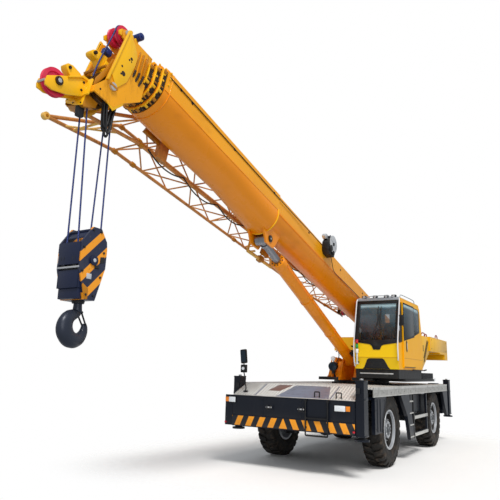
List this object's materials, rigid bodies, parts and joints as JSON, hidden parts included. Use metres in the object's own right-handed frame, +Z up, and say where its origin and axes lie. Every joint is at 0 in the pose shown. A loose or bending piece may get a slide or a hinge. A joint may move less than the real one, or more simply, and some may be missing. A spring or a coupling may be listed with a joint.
{
  "type": "mobile crane",
  "caption": "Rough-terrain mobile crane: two-axle carrier with outriggers, slewing upper, telescopic boom, hook block and stowed jib.",
  "frame": {"origin": "on the ground, at the middle of the machine's overall length and width", "axes": "+X to the machine's left, -Y to its front, +Z up"},
  "size_m": [2.7099, 12.8622, 5.6232],
  "materials": {
    "boom_paint": "satin",
    "cab_paint": "gloss",
    "carrier_paint": "satin",
    "deck_plate": "satin",
    "tyre": "matte",
    "rim_paint": "satin",
    "axle_metal": "matte",
    "engine_metal": "matte",
    "counterweight_paint": "satin",
    "black_trim": "matte",
    "glass": "gloss",
    "seat_fabric": "matte",
    "sheave_nylon": "satin",
    "rod_chrome": "polished",
    "jib_paint": "satin",
    "rope": "satin",
    "hook_block_paint": "satin",
    "hook_steel": "satin",
    "reel_metal": "satin"
  },
  "bodies": {
    "carrier": {"chassis_frame": "carrier_paint", "front_outrigger_box": "carrier_paint", "rear_outrigger_box": "carrier_paint", "deck": "deck_plate", "slew_ring": "black_trim", "engine_block": "engine_metal", "front_guard_left": "carrier_paint", "front_guard_right": "carrier_paint", "rear_guard_left": "carrier_paint", "rear_guard_right": "carrier_paint", "side_steps_left": "carrier_paint", "side_steps_right": "carrier_paint", "fuel_tank": "carrier_paint", "hydraulic_tank": "carrier_paint", "front_axle": "axle_metal", "rear_axle": "axle_metal"},
    "upper": {"turntable": "boom_paint", "counterweight": "counterweight_paint", "cab_base": "black_trim", "cab_shell": "cab_paint", "cab_glass": "glass", "operator_seat": "seat_fabric"},
    "cab_door": {"cab_door": "cab_paint", "door_glass": "glass"},
    "main_drum": {"main_drum": "reel_metal"},
    "auxiliary_drum": {"auxiliary_drum": "reel_metal"},
    "boom_base": {"boom_base": "boom_paint", "cable_reel": "reel_metal", "jib_lattice": "jib_paint"},
    "boom_section_2": {"boom_section_2": "boom_paint"},
    "boom_section_3": {"boom_section_3": "boom_paint"},
    "boom_head": {"boom_head": "boom_paint", "head_sheaves": "sheave_nylon", "auxiliary_arm": "boom_paint"},
    "luff_rod": {"luff_rod": "rod_chrome"},
    "luff_barrel": {"luff_barrel": "boom_paint"},
    "hoist_line": {"rope_falls": "rope"},
    "hook_block": {"hook_block": "hook_block_paint"},
    "hook": {"hook": "hook_steel"},
    "knuckle_front_left": {"steering_knuckle_front_left": "axle_metal"},
    "wheel_front_left": {"wheel_rim_front_left": "rim_paint", "tyre_front_left": "tyre"},
    "beam_front_left": {"outrigger_beam_front_left": "carrier_paint"},
    "foot_front_left": {"jack_foot_front_left": "carrier_paint"},
    "knuckle_front_right": {"steering_knuckle_front_right": "axle_metal"},
    "wheel_front_right": {"wheel_rim_front_right": "rim_paint", "tyre_front_right": "tyre"},
    "beam_front_right": {"outrigger_beam_front_right": "carrier_paint"},
    "foot_front_right": {"jack_foot_front_right": "carrier_paint"},
    "knuckle_rear_left": {"steering_knuckle_rear_left": "axle_metal"},
    "wheel_rear_left": {"wheel_rim_rear_left": "rim_paint", "tyre_rear_left": "tyre"},
    "beam_rear_left": {"outrigger_beam_rear_left": "carrier_paint"},
    "foot_rear_left": {"jack_foot_rear_left": "carrier_paint"},
    "knuckle_rear_right": {"steering_knuckle_rear_right": "axle_metal"},
    "wheel_rear_right": {"wheel_rim_rear_right": "rim_paint", "tyre_rear_right": "tyre"},
    "beam_rear_right": {"outrigger_beam_rear_right": "carrier_paint"},
    "foot_rear_right": {"jack_foot_rear_right": "carrier_paint"}
  },
  "joints": [
    {"name": "slew", "type": "hinge", "parent": "carrier", "child": "upper", "pos_m": [0, 2.881, 1.5], "axis": [0, 0, 1], "continuous": true},
    {"name": "boom_luff", "type": "hinge", "parent": "upper", "child": "boom_base", "pos_m": [0, 4.281, 2.7], "axis": [-1, 0, 0], "range_deg": [-13.4, 66.6]},
    {"name": "telescope_2", "type": "slide", "parent": "boom_base", "child": "boom_section_2", "axis": [0, -0.9728, 0.2317], "range_m": [0, 5.9]},
    {"name": "telescope_3", "type": "slide", "parent": "boom_section_2", "child": "boom_section_3", "axis": [0, -0.9728, 0.2317], "range_m": [0, 5.9]},
    {"name": "telescope_4", "type": "slide", "parent": "boom_section_3", "child": "boom_head", "axis": [0, -0.9728, 0.2317], "range_m": [0, 5.9]},
    {"name": "cylinder_pivot", "type": "hinge", "parent": "boom_base", "child": "luff_rod", "pos_m": [0, -1.9425, 3.76117], "axis": [-1, 0, 0], "range_deg": [-3, 7]},
    {"name": "cylinder_stroke", "type": "slide", "parent": "luff_rod", "child": "luff_barrel", "axis": [0, 0.9151, -0.4033], "range_m": [-0.6, 2.3]},
    {"name": "rope_plumb", "type": "hinge", "parent": "boom_head", "child": "hoist_line", "pos_m": [0, -5.69404, 4.6138], "axis": [-1, 0, 0], "range_deg": [-70, 20]},
    {"name": "hoist", "type": "slide", "parent": "hoist_line", "child": "hook_block", "axis": [0, 0, -1], "range_m": [-1, 1.75], "deforming": ["rope_falls"]},
    {"name": "hook_swivel", "type": "hinge", "parent": "hook_block", "child": "hook", "pos_m": [0, -5.69404, 2.2], "axis": [0, 0, 1], "continuous": true},
    {"name": "main_drum_turn", "type": "hinge", "parent": "upper", "child": "main_drum", "pos_m": [0, 5.731, 2.246], "axis": [1, 0, 0], "continuous": true},
    {"name": "auxiliary_drum_turn", "type": "hinge", "parent": "upper", "child": "auxiliary_drum", "pos_m": [0, 5.211, 2.225], "axis": [1, 0, 0], "continuous": true},
    {"name": "cab_door_slide", "type": "slide", "parent": "upper", "child": "cab_door", "axis": [0, 1, 0], "range_m": [0, 0.6]},
    {"name": "steer_front_left", "type": "hinge", "parent": "carrier", "child": "knuckle_front_left", "pos_m": [0.82, 0.881, 0.654], "axis": [0, 0, 1], "range_deg": [-28, 28]},
    {"name": "wheel_spin_front_left", "type": "hinge", "parent": "knuckle_front_left", "child": "wheel_front_left", "pos_m": [1.063, 0.881, 0.654], "axis": [1, 0, 0], "continuous": true},
    {"name": "outrigger_front_left", "type": "slide", "parent": "carrier", "child": "beam_front_left", "axis": [1, 0, 0], "range_m": [0, 1.75]},
    {"name": "jack_front_left", "type": "slide", "parent": "beam_front_left", "child": "foot_front_left", "axis": [0, 0, -1], "range_m": [0, 0.585]},
    {"name": "steer_front_right", "type": "hinge", "parent": "carrier", "child": "knuckle_front_right", "pos_m": [-0.82, 0.881, 0.654], "axis": [0, 0, 1], "range_deg": [-28, 28]},
    {"name": "wheel_spin_front_right", "type": "hinge", "parent": "knuckle_front_right", "child": "wheel_front_right", "pos_m": [-1.063, 0.881, 0.654], "axis": [1, 0, 0], "continuous": true},
    {"name": "outrigger_front_right", "type": "slide", "parent": "carrier", "child": "beam_front_right", "axis": [-1, 0, 0], "range_m": [0, 1.75]},
    {"name": "jack_front_right", "type": "slide", "parent": "beam_front_right", "child": "foot_front_right", "axis": [0, 0, -1], "range_m": [0, 0.585]},
    {"name": "steer_rear_left", "type": "hinge", "parent": "carrier", "child": "knuckle_rear_left", "pos_m": [0.82, 4.536, 0.654], "axis": [0, 0, 1], "range_deg": [-28, 28]},
    {"name": "wheel_spin_rear_left", "type": "hinge", "parent": "knuckle_rear_left", "child": "wheel_rear_left", "pos_m": [1.063, 4.536, 0.654], "axis": [1, 0, 0], "continuous": true},
    {"name": "outrigger_rear_left", "type": "slide", "parent": "carrier", "child": "beam_rear_left", "axis": [1, 0, 0], "range_m": [0, 1.75]},
    {"name": "jack_rear_left", "type": "slide", "parent": "beam_rear_left", "child": "foot_rear_left", "axis": [0, 0, -1], "range_m": [0, 0.585]},
    {"name": "steer_rear_right", "type": "hinge", "parent": "carrier", "child": "knuckle_rear_right", "pos_m": [-0.82, 4.536, 0.654], "axis": [0, 0, 1], "range_deg": [-28, 28]},
    {"name": "wheel_spin_rear_right", "type": "hinge", "parent": "knuckle_rear_right", "child": "wheel_rear_right", "pos_m": [-1.063, 4.536, 0.654], "axis": [1, 0, 0], "continuous": true},
    {"name": "outrigger_rear_right", "type": "slide", "parent": "carrier", "child": "beam_rear_right", "axis": [-1, 0, 0], "range_m": [0, 1.75]},
    {"name": "jack_rear_right", "type": "slide", "parent": "beam_rear_right", "child": "foot_rear_right", "axis": [0, 0, -1], "range_m": [0, 0.585]}
  ],
  "couplings": [
    {"joint": "telescope_3", "follows": "telescope_2", "ratio": 1},
    {"joint": "telescope_4", "follows": "telescope_2", "ratio": 1},
    {"joint": "cylinder_pivot", "follows": "boom_luff", "ratio": 0.08},
    {"joint": "cylinder_stroke", "follows": "boom_luff", "m_per_rad": 1.8},
    {"joint": "rope_plumb", "follows": "boom_luff", "ratio": -1},
    {"joint": "steer_front_right", "follows": "steer_front_left", "ratio": 1},
    {"joint": "steer_rear_right", "follows": "steer_rear_left", "ratio": 1}
  ]
}
